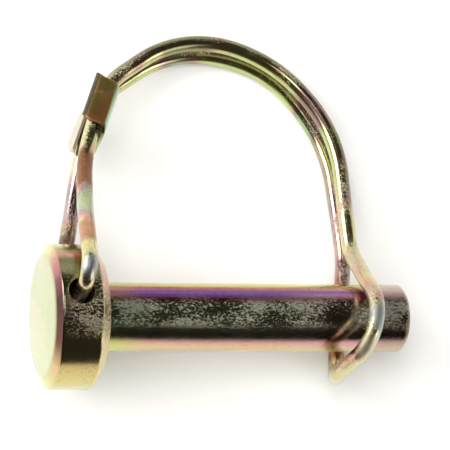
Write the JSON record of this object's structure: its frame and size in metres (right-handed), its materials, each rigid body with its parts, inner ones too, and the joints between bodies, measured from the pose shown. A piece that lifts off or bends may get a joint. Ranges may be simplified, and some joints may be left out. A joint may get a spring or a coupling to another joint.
{
  "type": "wire lock hitch pin",
  "caption": "Headed round pin with a sprung wire bail that pivots in a cross hole in the head, arches over the shank and loops round it near the tip, its legs held together by a crimped clip.",
  "frame": {"origin": "on the pin's axis, at the seat of its head", "axes": "+X along the pin from head to tip, +Y towards the top of the bail's arch, Z along the cross hole"},
  "size_m": [0.0694, 0.0703, 0.0362],
  "materials": {
    "pin": "turned steel, zinc plated, yellow chromate",
    "bail_wire": "drawn spring wire, zinc plated, yellow chromate",
    "bail_loop": "drawn spring wire, zinc plated, yellow chromate",
    "leg_clip": "rolled steel strip, zinc plated, yellow chromate"
  },
  "bodies": {
    "pin": {"pin": "pin"},
    "bail": {"bail_wire": "bail_wire", "leg_clip": "leg_clip"},
    "bail_loop": {"bail_loop": "bail_loop"}
  },
  "joints": [
    {"name": "bail_swing", "type": "hinge", "parent": "pin", "child": "bail", "pos_m": [-0.00575, 0, 0], "axis": [0, 0, 1], "range_deg": [0, 260]},
    {"name": "bail_flex", "type": "hinge", "parent": "bail", "child": "bail_loop", "pos_m": [0.0437, 0.0459, 0], "axis": [0, 0, 1], "range_deg": [0, 17], "stiffness_Nm_per_rad": 8, "deforming": ["bail_loop"]}
  ]
}
